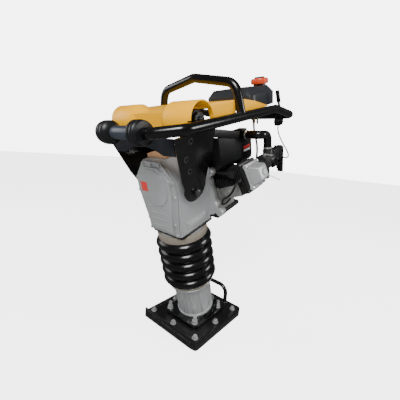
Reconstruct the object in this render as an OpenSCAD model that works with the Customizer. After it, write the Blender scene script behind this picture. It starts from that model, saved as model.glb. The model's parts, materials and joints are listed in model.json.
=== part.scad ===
// Tamping rammer with a four-stroke engine on a sprung, forward-leaning leg.
// Origin: centre of the flat sole. +X is the machine's left, -Y its front, +Z up.
// Everything above the shoe is drawn in the leg's own frame: Z runs up the leg,
// Y to the rear, and leg() stands that frame on the shoe at its lean.

/* [Leg and shoe] */
// Lean of the leg forward from upright, degrees
leg_tilt = 18; // [12:0.5:20]
// Where the leg's axis meets the shoe's top, behind the sole's centre
leg_y = 15; // [0:1:30]
// Width of the shoe
shoe_w = 285; // [240:1:330]
// Length of the shoe along the travel direction
shoe_l = 334; // [300:1:400]
// Thickness of the steel sole
sole_t = 7; // [5:0.5:9]
// Thickness of the shock-absorbing shoe body
shoe_t = 24; // [18:1:30]
// Rise of the shoe's turned-up toe above the ground
toe_rise = 48; // [44:1:56]
// Corner radius of the shoe in plan
shoe_corner_r = 22; // [10:1:30]
// Side spacing of the shoe's outer bolts from the centre
shoe_bolt_x = 117; // [100:1:118]
// Lengthwise spacing of the shoe's outer bolts from the centre
shoe_bolt_y = 128; // [118:1:134]
// Side spacing of the foot studs from the centre
stud_x = 70; // [66:1:76]
// Lengthwise spacing of the foot studs from the centre
stud_y = 78; // [74:1:84]
// Tube radius of the shoe's carrying handle
shoe_handle_r = 9; // [7:0.5:11]

/* [Foot and springs] */
// Outer radius of the foot cylinder
foot_r = 72.5; // [68:0.5:78]
// Wall of the foot cylinder
foot_wall = 9; // [6:0.5:11]
// Height up the leg of the foot cylinder's base
foot_w0 = 33; // [32:1:38]
// Height up the leg of the foot cylinder's lip
lip_w = 176; // [150:1:190]
// Outer radius of the lip
lip_r = 87; // [84:1:92]
// Bore radius of the spring cylinder
spring_bore_r = 42; // [38:0.5:44]
// Outer radius of the spring cylinder
spring_cyl_r = 50; // [48:0.5:52]
// Height up the leg of the spring cylinder's top
spring_cyl_top = 326; // [310:1:340]
// Running clearance of sliding and turning fits, on the radius
fit_gap = 0.05; // [0.02:0.01:0.08]
// Thickness of the piston
piston_t = 30; // [24:1:40]
// Radius of the piston rod
piston_rod_r = 13; // [10:0.5:15]
// Height up the leg of the wrist pin
wrist_w = 385; // [375:1:392]
// Outer radius of the bellows
bellows_r = 105; // [98:1:112]
// Number of folds in the bellows
bellows_folds = 5; // [4:1:7]

/* [Crankcase and gears] */
// Height up the leg of the crankcase floor
case_w0 = 441; // [436:1:450]
// Half width of the crankcase at its floor
case_half_w = 75; // [70:1:80]
// Half width of the crankcase beside the gear
case_wide_w = 94; // [92:1:98]
// Front face of the crankcase, ahead of the leg's axis
case_front = 76; // [70:1:80]
// Rear face of the crankcase, behind the leg's axis
case_rear = 92; // [88:1:96]
// Wall of the crankcase
case_wall = 8; // [6:0.5:9]
// Height up the leg of the crank gear's axis
gear_w = 615; // [613:1:618]
// Gear module
gear_m = 2; // [2:0.5:2]
// Teeth of the crank gear
gear_teeth = 76; // [76:1:76]
// Teeth of the pinion
pinion_teeth = 17; // [17:1:17]
// Throw of the crank pin
crank_throw = 32; // [26:1:34]
// Radius of the gear shaft
gear_shaft_r = 15; // [12:0.5:17]

/* [Engine] */
// Upward lean of the engine's cylinder from level, degrees
cylinder_tilt = 20; // [15:1:25]
// Distance of the cylinder's axis behind the leg's axis
cylinder_v = 177; // [170:1:184]
// Rear face of the engine's crankcase
engine_rear = 250; // [240:1:258]
// Core radius of the finned cylinder
barrel_r = 38; // [34:1:42]
// Radius of the cylinder's cooling fins
fin_r = 50; // [46:1:52]
// Radius of the engine's crankshaft
crank_r = 10; // [8:0.5:12]
// Radius of the recoil starter's housing
recoil_r = 82; // [78:1:88]

/* [Handle] */
// Half width of the handle, to the tube's centre
handle_half_w = 185; // [175:1:195]
// Distance of the front crossbar ahead of the leg's axis
handle_front = 151; // [140:1:165]
// How far back the handle sweeps from its crossbar to its side rails
front_sweep = 50; // [42:1:58]
// Distance of the rear grip behind the leg's axis
handle_rear = 568; // [560:1:580]
// Tube radius of the handle
handle_r = 15; // [12:0.5:16]
// Tube radius of the lifting hoop
hoop_r = 14.5; // [12:0.5:16]
// Height up the leg of the lifting hoop's top
hoop_top = 919; // [910:1:930]
// Radius of the rubber front rollers
roller_r = 34; // [28:1:38]
// Radius of the cover's two humps, over the rubber mounts
hump_r = 50; // [46:1:52]

/* [Fuel tank] */
// Half width of the fuel tank at its base
tank_half_w = 112; // [100:1:114]
// Front of the fuel tank, behind the leg's axis
tank_front = 352; // [345:1:360]
// Rear of the fuel tank, behind the leg's axis
tank_rear = 560; // [540:1:564]
// Height up the leg of the fuel tank's floor
tank_w0 = 790; // [788:1:796]
// Height up the leg of the fuel tank's shoulder
tank_top = 862; // [850:1:870]
// Radius of the filler cap
cap_r = 36; // [30:1:38]

/* [Hidden] */
$fn = 48;

shoe_top = sole_t + shoe_t;
foot_base_t = 8;
foot_top_w = 204;
piston_w = 180;
spring_coil_r = 32;
spring_wire_r = 4.5;
spring_turns = 4.5;
cap_t = 12;
clamp_w0 = lip_w + 6;
bellows_w0 = 196;
bellows_w1 = 404;
upper_clamp_w1 = 431;
guide_r = spring_cyl_r + 8;
guide_w0 = 140;
gear_pitch_r = gear_m * gear_teeth / 2;
pinion_pitch_r = gear_m * pinion_teeth / 2;
pinion_w = gear_w - gear_pitch_r - pinion_pitch_r;
gear_v0 = 18;
gear_v1 = 42;
inner_wall_v = 46;
bell_v0 = 52;
bell_r = 58;
drum_r = 52;
rod_t = 22;
rod_length = gear_w - crank_throw - wrist_w;
cover_v0 = case_front + 2;
cover_t = 15;
flange_v1 = case_rear + 12;
lug_pts = [[88, 98], [118, -50], [-88, 98], [-118, -50]];
flywheel_v0 = 262;
pull_from = [-66, 284, pinion_w + 66];
pull_lean = 60;
head_s0 = 170;
head_s1 = 222;
rocker_s1 = 264;
rail_w0 = 801;
rail_v1 = 400;
rail_w1 = 783;
grip_w = 734;
mount_v = -21;
mount_w = 812;
mount_bolt_r = 9;
plate_x0 = 103;
plate_x1 = 150;
plate_w0 = 585;
plate_w1 = 780;
plate_t = 6;
roller_x0 = 45;
roller_x1 = 95;
crossbar_x = 110;
bar_bend_x = 122;
hoop_foot = [180, 164, 800];
hoop_shoulder = [160, 171, 890];
strap_v = [356, 400];
grip_clamp_x = 118;
throttle_pivot = [142.4, 543, 712];
lever_l = 134;
lever_pin_r = 3;
cover_half_w = 166;
cover_wall = 3.5;
hump_x0 = 76;
cone_l = 36;
saddle_r = 28;
hump_x1 = 177;
carb_x = 195;
carb_w = 610;

// Route of the plug lead, in the leg's frame
lead_pts = [[188, 105, 590], [188, 99, 590], [185, 91, 581], [176, 88, 560], [150, 96, 535], [120, 112, 512],
            [98, 130, 482], [90, 160, 468], [86, 190, 468], [82, 210, 469], [77, 222, 470],
            [72, 222, 470]];
// Route of the fuel hose, in the leg's frame
hose_pts = [[100, 385, 733], [100, 385, 712], [106, 380, 690], [118, 368, 668], [132, 348, 645],
            [142, 326, 620], [150, 306, 598], [158, 292, 582], [166, 285, 575], [175, 284, 574]];
// Route of the throttle cable, in the leg's frame
cable_pts = [[130, 548, 695], [130, 548, 678], [134, 547, 660], [144, 545, 638], [158, 541, 616],
             [174, 535, 596], [188, 524, 580], [197, 508, 572], [200, 488, 570], [198, 468, 575],
             [196, 455, 580], [195, 446, 582]];

function unit(a) = a / norm(a);
function lerp(a, b, t) = a + (b - a) * t;

// The leg's own frame, standing on the shoe.
module leg() {
    translate([0, leg_y, shoe_top]) rotate([leg_tilt, 0, 0]) children();
}

// A cylinder between two points.
module bar(a, b, r) {
    d = b - a;
    translate(a)
        rotate([0, acos(d[2] / norm(d)), atan2(d[1], d[0])])
            cylinder(h = norm(d), r = r);
}

// A disc or shaft whose axis runs fore and aft, from v0 to v1.
module along_v(v0, v1, r) {
    translate([0, v1, 0]) rotate([90, 0, 0]) cylinder(h = v1 - v0, r = r);
}

// A disc or shaft whose axis runs across, from x0 to x1.
module across(x0, x1, r) {
    translate([x0, 0, 0]) rotate([0, 90, 0]) cylinder(h = x1 - x0, r = r);
}

// A hose or cable: one tube swept along its route.
module hose(p, r, sides) {
    n = len(p);
    t = [for (i = [0:n - 1]) unit(p[min(i + 1, n - 1)] - p[max(i - 1, 0)])];
    first = unit(cross(t[0], abs(t[0][0]) > 0.9 ? [0, 1, 0] : [1, 0, 0]));
    a = [for (i = 0, v = first; i < n; i = i + 1, v = i < n ? unit(v - (v * t[i]) * t[i]) : v) v];
    pts = [for (i = [0:n - 1], k = [0:sides - 1])
        p[i] + r * cos(360 * k / sides) * a[i] + r * sin(360 * k / sides) * cross(t[i], a[i])];
    quads = [for (i = [0:n - 2], k = [0:sides - 1])
        [i * sides + k, (i + 1) * sides + k,
         (i + 1) * sides + (k + 1) % sides, i * sides + (k + 1) % sides]];
    polyhedron(pts, concat(quads, [[for (k = [0:sides - 1]) k],
                                   [for (k = [0:sides - 1]) n * sides - 1 - k]]));
}

// The points of a path with each corner turned into an arc of radius bend_r.
function round_path(p, bend_r) = let (n = len(p), steps = 6) [
    p[0],
    for (i = [1:n - 2]) let (a = unit(p[i] - p[i - 1]), b = unit(p[i + 1] - p[i]),
                             turn = acos(a * b), side = unit(b - (a * b) * a),
                             start = p[i] - a * bend_r * tan(turn / 2))
        for (k = [0:steps]) let (t = turn * k / steps)
            start + bend_r * (sin(t) * a + (1 - cos(t)) * side),
    p[n - 1]
];

// A bent round tube through the points, drawn as a solid bar.
module bent_tube(p, r, bend_r) {
    hose(round_path(p, bend_r), r, 16);
}

// A coil spring up the leg from w0 to w1.
module coil(w0, w1) {
    steps = spring_turns * 14;
    hose([for (i = [0:steps]) [spring_coil_r * cos(360 * i * spring_turns / steps),
                               spring_coil_r * sin(360 * i * spring_turns / steps),
                               lerp(w0 + spring_wire_r + 1, w1 - spring_wire_r - 1, i / steps)]],
         spring_wire_r, 8);
}

// A hexagon nut or bolt head with its shank below it.
module bolt(head_r, head_h, shank_r, shank_l) {
    cylinder(h = head_h, r = head_r, $fn = 6);
    translate([0, 0, -shank_l]) cylinder(h = shank_l + head_h / 2, r = shank_r);
}

// A rectangle with round corners.
module round_rect(w, l, r) {
    square([w - 2 * r, l], center = true);
    square([w, l - 2 * r], center = true);
    for (x = [-1, 1], y = [-1, 1])
        translate([x * (w / 2 - r), y * (l / 2 - r)]) circle(r = r);
}

// ---- Shoe -----------------------------------------------------------------

// Side line of the sole at height z, from the heel to the turned-up toe.
function sole_line(z) = let (front = -shoe_l / 2)
    [[shoe_l / 2, z], [front + 30, z], [front + 14, z + 6], [front, z + toe_rise - shoe_top]];

// Side line of the shoe's top, from the toe to the heel.
function top_line() = let (front = -shoe_l / 2)
    [[front, toe_rise - 9], [front + 3, toe_rise - 3], [front + 9, toe_rise],
     [front + 15, toe_rise - 2], [front + 21, shoe_top + 6], [front + 26, shoe_top],
     [shoe_l / 2, shoe_top]];

module shoe_layer(outline) {
    rotate([90, 0, 90]) translate([0, 0, -shoe_w / 2]) linear_extrude(shoe_w) polygon(outline);
}

module shoe_plan(h) {
    linear_extrude(h) round_rect(shoe_w, shoe_l, shoe_corner_r);
}

module bolt_grid() {
    for (x = [-1, 0, 1], y = [-1, 0, 1])
        if (x != 0 || y != 0) translate([x * shoe_bolt_x, y * shoe_bolt_y, 0]) children();
}

module sole_plate() {
    color("dimgray") intersection() {
        shoe_layer(concat(sole_line(0), [for (i = [3:-1:0]) sole_line(sole_t)[i]]));
        shoe_plan(toe_rise + 1);
    }
}

module shoe_body() {
    color([0.09, 0.09, 0.1]) difference() {
        intersection() {
            shoe_layer(concat(sole_line(sole_t), top_line()));
            shoe_plan(toe_rise + 1);
        }
        bolt_grid() cylinder(h = shoe_top + 1, r = 6);
        for (x = [-1, 1], y = [-1, 1])
            translate([x * stud_x, y * stud_y, 0]) cylinder(h = shoe_top + 1, r = 7);
    }
}

module shoe_bolts() {
    color("silver") bolt_grid() translate([0, 0, shoe_top]) {
        cylinder(h = 2, r = 12);
        translate([0, 0, 2]) bolt(9.5, 8, 6, shoe_t + 2);
        cylinder(h = 14, r = 6);
    }
}

module shoe_handle() {
    z0 = shoe_top;
    color([0.09, 0.09, 0.1]) {
        bent_tube([[-60, 150, z0], [-60, 150, z0 + 78], [60, 150, z0 + 78], [60, 150, z0]],
                  shoe_handle_r, 38);
        for (x = [-60, 60]) translate([x, 150, z0]) cylinder(h = 5, r = shoe_handle_r + 4);
    }
}

module foot_block() {
    flange_t = 12;
    color([0.09, 0.09, 0.1]) difference() {
        union() {
            translate([0, 0, shoe_top]) linear_extrude(flange_t) round_rect(180, 194, 20);
            intersection() {
                leg() translate([0, 0, -60]) cylinder(h = 60 + foot_w0, r = foot_r + 6);
                translate([-150, -150, shoe_top]) cube([300, 300, 120]);
            }
            for (s = [-1, 1]) intersection() {
                leg() translate([s * 66 - 6, -85, -60]) cube([12, 170, 60 + foot_w0 - 1]);
                translate([-88, -90, shoe_top]) cube([176, 180, 120]);
            }
        }
        for (x = [-1, 1], y = [-1, 1])
            translate([x * stud_x, y * stud_y, shoe_top + flange_t]) cylinder(h = 120, r = 13);
        for (x = [-1, 1], y = [-1, 1])
            translate([x * stud_x, y * stud_y, shoe_top - 1]) cylinder(h = flange_t + 2, r = 7);
        leg() translate([0, 0, foot_w0]) cylinder(h = 60, r = foot_r + 4);
    }
}

module foot_studs() {
    seat = shoe_top + 12;
    color("silver") for (x = [-1, 1], y = [-1, 1]) translate([x * stud_x, y * stud_y, 0]) {
        translate([0, 0, sole_t]) cylinder(h = seat + 30 - sole_t, r = 7);
        translate([0, 0, seat]) cylinder(h = 2.5, r = 12.5);
        translate([0, 0, seat + 2.5]) cylinder(h = 11, r = 11.5, $fn = 6);
    }
}

// ---- Foot cylinder and spring pack ------------------------------------------

module foot_cylinder() {
    color("silver") leg() difference() {
        union() {
            translate([0, 0, foot_w0]) cylinder(h = 10, r = foot_r + 4);
            translate([0, 0, foot_w0]) cylinder(h = lip_w - foot_w0, r = foot_r);
            translate([0, 0, lip_w]) cylinder(h = 6, r = lip_r);
            translate([0, 0, lip_w + 6]) cylinder(h = foot_top_w - lip_w - 6, r = lip_r - 7);
        }
        translate([0, 0, foot_w0 + foot_base_t]) cylinder(h = 300, r = foot_r - foot_wall);
    }
}

module lower_clamp() {
    color("tan") leg() translate([0, 0, clamp_w0]) difference() {
        union() {
            cylinder(h = 12, r = lip_r - 1);
            translate([-9, lip_r - 3, 2]) cube([18, 12, 8]);
        }
        translate([0, 0, -1]) cylinder(h = 14, r = lip_r - 4);
    }
}

module spring_cylinder() {
    w0 = foot_w0 + foot_base_t;
    color("gray") leg() difference() {
        translate([0, 0, w0]) cylinder(h = spring_cyl_top - cap_t - w0, r = spring_cyl_r);
        translate([0, 0, w0 + 6]) cylinder(h = 400, r = spring_bore_r);
    }
}

module cylinder_cap() {
    color("dimgray") leg() translate([0, 0, spring_cyl_top - cap_t]) difference() {
        cylinder(h = cap_t, r = spring_cyl_r);
        translate([0, 0, -1]) cylinder(h = cap_t + 2, r = piston_rod_r + fit_gap);
    }
}

module lower_spring() {
    color("steelblue") leg() coil(foot_w0 + foot_base_t + 6, piston_w - piston_t / 2);
}

module upper_spring() {
    color("steelblue") leg() coil(piston_w + piston_t / 2, spring_cyl_top - cap_t);
}

module piston() {
    color("lightgray") leg() {
        translate([0, 0, piston_w - piston_t / 2]) cylinder(h = piston_t, r = spring_bore_r - fit_gap);
        difference() {
            union() {
                translate([0, 0, piston_w]) cylinder(h = wrist_w - 28 - piston_w, r = piston_rod_r);
                translate([-15, -22, wrist_w - 30]) cube([30, 44, 44]);
            }
            translate([-16, -rod_t / 2 - 0.5, wrist_w - 22]) cube([32, rod_t + 1, 60]);
        }
        translate([0, 0, wrist_w]) along_v(-22, 22, 8);
    }
}

module connecting_rod() {
    big_w = wrist_w + rod_length;
    color("gray") leg() difference() {
        union() {
            translate([0, 0, wrist_w]) along_v(-rod_t / 2, rod_t / 2, 14);
            translate([-9, -rod_t / 2, wrist_w]) cube([18, rod_t, rod_length]);
            translate([0, 0, big_w]) along_v(-rod_t / 2, rod_t / 2, 24);
        }
        translate([0, 0, wrist_w]) along_v(-rod_t, rod_t, 8 + fit_gap);
        translate([0, 0, big_w]) along_v(-rod_t, rod_t, 14);
    }
}

// One fold of the bellows' outline, bulging out between two heights.
function fold_pts(w0, w1, r0, r1) =
    [for (a = [0:30:180]) [r0 + (r1 - r0) * sin(a), lerp(w0, w1, (1 - cos(a)) / 2)]];

module bellows() {
    root = bellows_r - 17;
    h = (bellows_w1 - bellows_w0) / bellows_folds;
    outer = [for (i = [0:bellows_folds - 1])
        each fold_pts(bellows_w0 + i * h + 1, bellows_w0 + (i + 1) * h - 1, root, bellows_r)];
    inner = [for (i = [len(outer) - 1:-1:0]) [outer[i][0] - 3.5, outer[i][1]]];
    color([0.06, 0.06, 0.07]) leg() rotate_extrude($fn = 64)
        polygon(concat([[lip_r - 4, clamp_w0 + 1], [lip_r - 4, bellows_w0 - 1]], outer, inner,
                       [[lip_r - 7, bellows_w0 - 1], [lip_r - 7, clamp_w0 + 1]]));
}

module upper_clamp() {
    color("tan") leg() difference() {
        translate([0, 0, bellows_w1]) cylinder(h = upper_clamp_w1 - bellows_w1, r = 93);
        translate([0, 0, bellows_w1 - 1]) cylinder(h = 100, r = 84);
    }
}

// ---- Crankcase --------------------------------------------------------------

module guide_cylinder() {
    color("silver") leg() difference() {
        union() {
            translate([0, 0, guide_w0]) cylinder(h = upper_clamp_w1 - guide_w0, r = guide_r);
            translate([0, 0, bellows_w1]) cylinder(h = upper_clamp_w1 - bellows_w1, r = 84);
        }
        translate([0, 0, guide_w0 - 1]) cylinder(h = 400, r = spring_cyl_r + fit_gap);
    }
}

module base_plate() {
    color([0.09, 0.09, 0.1]) leg() difference() {
        translate([0, (case_rear - case_front) / 2, upper_clamp_w1])
            linear_extrude(case_w0 - upper_clamp_w1)
                round_rect(2 * case_half_w + 4, case_front + case_rear + 4, 14);
        translate([0, 0, upper_clamp_w1 - 1]) cylinder(h = 30, r = spring_cyl_r + 1);
    }
}

// Front outline of the crankcase, drawn in by d all round.
function case_outline(d) = let (b = case_half_w - d, m = case_wide_w - d, w0 = case_w0 + d)
    [[-b, w0], [b, w0], [b, w0 + 40], [m, gear_w - 20], [m, gear_w + 26], [44 - d / 2, 702 - d],
     [-44 + d / 2, 702 - d], [-m, gear_w + 26], [-m, gear_w - 20], [-b, w0 + 40]];

module case_slab(v0, v1, d) {
    translate([0, v1, 0]) rotate([90, 0, 0]) linear_extrude(v1 - v0) polygon(case_outline(d));
}

module engine_lugs(v0, v1) {
    difference() {
        translate([0, 0, pinion_w]) {
            along_v(v0, v1, 100);
            for (p = lug_pts) {
                translate([p[0], 0, p[1]]) along_v(v0, v1, 15);
                bar([p[0] * 0.6, v0, p[1] * 0.6], [p[0] * 0.6, v1, p[1] * 0.6], 38);
            }
        }
        translate([-130, v0 - 1, case_w0 - 60]) cube([260, v1 - v0 + 2, 60]);
    }
}

module crankcase() {
    color("silver") leg() difference() {
        union() {
            case_slab(-case_front, case_rear - 12, 0);
            translate([-40, -case_front + 20, 690]) cube([80, 120, 24]);
            engine_lugs(case_rear - 12, case_rear);
            translate([0, 0, pinion_w]) along_v(40, case_rear, 74);
            for (s = [-1, 1])
                translate([s * (case_half_w + 1) - 3, -42, case_w0 + 14]) cube([6, 96, 26]);
            for (s = [-1, 1])
                translate([s > 0 ? 88 : -97, -45, 570]) cube([9, 60, 50]);
        }
        case_slab(-case_front - 1, inner_wall_v - 2, case_wall);
        translate([0, 0, case_w0 - 1]) cylinder(h = 40, r = spring_cyl_r);
        translate([0, 0, gear_w]) along_v(inner_wall_v - 4, case_rear - 16, 28);
        translate([0, 0, pinion_w]) along_v(inner_wall_v - 4, bell_v0 + 1, 22);
        translate([0, 0, pinion_w]) along_v(bell_v0, case_rear + 1, bell_r);
        translate([0, 0, pinion_w])
            for (p = lug_pts) translate([p[0], 0, p[1]]) along_v(case_rear - 12, 120, 5);
        for (s = [-1, 1])
            translate([0, -17, 591]) across(s > 0 ? 92 : -98, s > 0 ? 98 : -92, 6);
    }
}

module front_cover() {
    face = case_front + cover_t;
    color("lightgray") leg() difference() {
        union() {
            case_slab(-cover_v0 - 5, -cover_v0, 3);
            case_slab(-face, -cover_v0 - 5, 19);
            translate([0, 0, gear_w]) along_v(-face - 3, -face, 62);
        }
        case_slab(-cover_v0 - 7, -cover_v0 + 1, 26);
        for (p = cover_ring()) translate([p[0], 0, p[1]]) along_v(-cover_v0 - 6, -cover_v0 + 1, 3);
    }
}

// Centres of the front cover's bolts.
function cover_ring() = concat(case_outline(11), [[0, case_w0 + 11], [0, 691]]);

module cover_bolts() {
    color("silver") leg() for (p = cover_ring())
        translate([p[0], -cover_v0 - 5, p[1]]) rotate([90, 0, 0]) bolt(5.5, 5, 3, 4);
}

module bearing(v0, v1, r, bore) {
    difference() {
        along_v(v0, v1, r);
        along_v(v0 - 1, v1 + 1, bore);
    }
}

module bearings() {
    color("gainsboro") leg() {
        translate([0, 0, gear_w]) bearing(inner_wall_v, inner_wall_v + 16, 28, gear_shaft_r + fit_gap);
        translate([0, 0, pinion_w]) bearing(inner_wall_v - 2, bell_v0 - 1, 22, crank_r + fit_gap);
    }
}

// Gear outline with straight-flanked teeth.
module gear_outline(teeth, phase) {
    r = gear_m * teeth / 2;
    step = 360 / teeth;
    polygon([for (i = [0:teeth - 1], k = [[-0.28, -2.3], [-0.12, 1.6], [0.12, 1.6], [0.28, -2.3]])
        let (a = (i + k[0]) * step + phase) [(r + k[1]) * cos(a), (r + k[1]) * sin(a)]]);
}

module gear_wheel(v0, v1, teeth, phase) {
    translate([0, v1, 0]) rotate([90, 0, 0]) linear_extrude(v1 - v0) gear_outline(teeth, phase);
}

module crank_gear() {
    color("dimgray") leg() translate([0, 0, gear_w]) {
        gear_wheel(gear_v0, gear_v1, gear_teeth, -90);
        along_v(gear_v1, inner_wall_v + 18, gear_shaft_r);
        translate([0, 0, -crank_throw]) along_v(rod_t / 2 + 1, gear_v0, 13.5);
    }
}

module clutch_drum() {
    color("slategray") leg() translate([0, 0, pinion_w]) difference() {
        union() {
            gear_wheel(gear_v0, gear_v1, pinion_teeth, 90 + 180 / pinion_teeth);
            along_v(gear_v1, bell_v0 + 4, crank_r);
            along_v(bell_v0 + 2, case_rear - 3, drum_r);
        }
        along_v(bell_v0 + 8, case_rear, drum_r - 4);
    }
}

// ---- Engine -----------------------------------------------------------------

module clutch_shoes() {
    color("sienna") leg() translate([0, 0, pinion_w]) difference() {
        along_v(bell_v0 + 12, case_rear - 6, drum_r - 5.5);
        along_v(bell_v0 + 11, case_rear, 16);
        for (a = [0, 90]) rotate([0, a, 0]) translate([-60, 0, -2]) cube([120, 120, 4]);
    }
}

module crankshaft() {
    color("gray") leg() translate([0, 0, pinion_w]) {
        along_v(bell_v0 + 12, flywheel_v0, crank_r);
        along_v(bell_v0 + 12, case_rear - 8, 15.5);
    }
}

module flywheel() {
    color("gray") leg() translate([0, 0, pinion_w]) {
        along_v(flywheel_v0, flywheel_v0 + 14, 66);
        for (i = [0:11]) rotate([0, i * 30, 0])
            translate([34, flywheel_v0 + 14, -1.5]) cube([28, 10, 3]);
        along_v(flywheel_v0 + 14, flywheel_v0 + 28, 22);
    }
}

module engine_block() {
    color("gray") leg() difference() {
        union() {
            engine_lugs(case_rear, flange_v1);
            translate([0, 0, pinion_w]) along_v(flange_v1, engine_rear, 68);
            translate([-72, 116, 436]) cube([144, engine_rear - 116, 90]);
            translate([-80, 120, 420]) cube([160, 150, 16]);
            translate([0, cylinder_v, pinion_w]) rotate([0, 90 - cylinder_tilt, 0])
                cylinder(h = 78, r = 52);
        }
        translate([0, 0, pinion_w]) along_v(case_rear - 1, engine_rear + 1, crank_r + fit_gap);
        translate([0, 0, pinion_w]) along_v(case_rear - 1, case_rear + 6, drum_r);
        translate([0, 0, pinion_w])
            for (p = lug_pts) translate([p[0], 0, p[1]]) along_v(60, 120, 5);
    }
}

module engine_bolts() {
    color("silver") leg() translate([0, 0, pinion_w]) for (p = lug_pts)
        translate([p[0], flange_v1, p[1]]) rotate([-90, 0, 0]) bolt(8, 6, 5, flange_v1 - case_rear + 12);
    color("silver") barrel_frame() for (x = [-1, 1], y = [-1, 1])
        translate([x * 37.5, y * 37.5, head_s1 + 6]) bolt(5, 5, 2.5, 3);
}

// Frame of the engine's cylinder: Z runs out along its axis from the crankshaft.
module barrel_frame() {
    leg() translate([0, cylinder_v, pinion_w]) rotate([0, 90 - cylinder_tilt, 0]) children();
}

module engine_cylinder() {
    color("dimgray") barrel_frame() {
        translate([0, 0, 78]) cylinder(h = head_s0 - 78, r = barrel_r);
        for (s = [82:9:head_s0 - 6]) translate([0, 0, s]) cylinder(h = 3, r = fin_r);
    }
}

module cylinder_head() {
    color("dimgray") barrel_frame() {
        translate([-44, -44, head_s0]) cube([88, 88, head_s1 - head_s0]);
        for (s = [head_s0 + 4:9:head_s1 - 6])
            translate([-52, -50, s]) cube([104, 100, 3]);
    }
}

module rocker_cover() {
    color("silver") barrel_frame() {
        difference() {
            translate([0, 0, head_s1]) linear_extrude(6) round_rect(88, 88, 10);
            for (x = [-1, 1], y = [-1, 1])
                translate([x * 37.5, y * 37.5, head_s1 - 1]) cylinder(h = 8, r = 2.5);
        }
        translate([0, 0, head_s1 + 6]) linear_extrude(rocker_s1 - head_s1 - 6) round_rect(70, 72, 16);
    }
}

module spark_plug() {
    color([0.09, 0.09, 0.1]) barrel_frame() translate([0, -50, 200]) {
        rotate([90, 0, 0]) cylinder(h = 8, r = 9);
        rotate([90, 0, 0]) cylinder(h = 22, r = 7);
    }
}

module plug_lead() {
    color([0.09, 0.09, 0.1]) leg() hose(lead_pts, 3.5, 8);
}

module recoil_cover() {
    color([0.09, 0.09, 0.1]) leg() translate([0, 0, pinion_w]) difference() {
        union() {
            along_v(engine_rear, flywheel_v0 + 34, recoil_r);
            along_v(flywheel_v0 + 34, flywheel_v0 + 46, recoil_r - 22);
            translate(pull_from - [0, 0, pinion_w]) rotate([0, -pull_lean, 0])
                translate([0, 0, -30]) cylinder(h = 29.6, r = 12);
        }
        along_v(engine_rear - 1, flywheel_v0 + 30, recoil_r - 5);
    }
}

module starter_grip() {
    color([0.09, 0.09, 0.1]) leg() translate(pull_from) rotate([0, -pull_lean, 0]) {
        cylinder(h = 14, r = 5);
        translate([0, -18, 14]) rotate([-90, 0, 0]) cylinder(h = 36, r = 8);
    }
}

module muffler() {
    color("dimgray") leg() {
        difference() {
            translate([-190, 105, 560]) cube([80, 130, 92]);
            translate([-187, 108, 563]) cube([74, 124, 86]);
            translate([-150, 0, 580]) along_v(225, 240, 9);
        }
        translate([0, 118.5, 611]) across(-111, 162, 7);
        translate([150, 111.5, 600]) cube([23, 15.5, 22]);
        translate([-195, 110, 565]) cube([5, 120, 82]);
    }
}

module carburettor() {
    color("gray") leg() {
        translate([carb_x, 0, carb_w]) along_v(228, 262, 14);
        translate([carb_x - 20, 262, carb_w - 22]) cube([40, 42, 44]);
        translate([carb_x, 0, carb_w]) along_v(304, 343, 22);
        translate([carb_x, 284, carb_w - 62]) cylinder(h = 40, r = 19);
        translate([carb_x, 312, carb_w + 10]) cylinder(h = 30, r = 18);
        translate([carb_x, 284, carb_w + 20]) cylinder(h = 14, r = lever_pin_r);
        translate([0, 334, carb_w]) across(carb_x + 20, carb_x + 33, lever_pin_r);
    }
}

module throttle_arm() {
    color("lightgray") leg() translate([carb_x, 284, carb_w + 22.4]) difference() {
        union() {
            cylinder(h = 8, r = 6);
            translate([3, -4, 4]) cube([31, 8, 3]);
        }
        translate([0, 0, -1]) cylinder(h = 10, r = lever_pin_r + fit_gap);
    }
}

module choke_lever() {
    color([0.09, 0.09, 0.1]) leg() translate([carb_x + 22.4, 334, carb_w]) difference() {
        union() {
            across(0, 8, 6);
            translate([4, -4, -37]) cube([3, 8, 34]);
        }
        across(-1, 9, lever_pin_r + fit_gap);
    }
}

module control_plate() {
    color([0.09, 0.09, 0.1]) leg() {
        translate([carb_x - 12, 425, 526]) cube([24, 6, 108]);
        translate([carb_x - 10, 350, carb_w - 40]) cube([20, 75, 8]);
        translate([carb_x - 10, 343, carb_w - 40]) cube([20, 8, 40]);
        translate([carb_x, 431, 582]) along_v(0, 14, 6);
    }
}

module intake_elbow() {
    color([0.09, 0.09, 0.1]) leg()
        bent_tube([[128, 262, 713], [190, 262, 713], [carb_x, 312, 705], [carb_x, 312, carb_w + 40]],
                  15, 20);
}

// Side outline of the air cleaner's front box under the sloping hood, drawn in by d.
function cleaner_pts(d) = [[106 + d, 632 + d], [241 - d, 632 + d], [241 - d, 702 - d], [106 + d, 735 - d]];

module cleaner_box(d) {
    translate([-50 + d, 0, 0]) rotate([90, 0, 90]) linear_extrude(176 - 2 * d) polygon(cleaner_pts(d));
}

module cleaner_drum(d) {
    translate([72, 318 - d, 662]) rotate([90, 0, 0])
        linear_extrude(78) round_rect(104 - 2 * d, 112 - 2 * d, 22 - d);
}

module air_cleaner() {
    color([0.09, 0.09, 0.1]) leg() difference() {
        union() {
            cleaner_box(0);
            cleaner_drum(0);
            translate([96, 244, 690]) cube([32, 36, 44]);
        }
        cleaner_box(3);
        cleaner_drum(3);
        translate([0, 262, 713]) across(100, 130, 10);
    }
}

module air_cleaner_hood() {
    color([0.09, 0.09, 0.1]) leg() translate([0, 66, 772]) rotate([-13.5, 0, 0]) difference() {
        translate([38, 88, -26]) linear_extrude(26) round_rect(190, 180, 20);
        translate([-100, -10, -30]) cube([300, 12, 60]);
    }
}

// ---- Bracket ----------------------------------------------------------------

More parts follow.
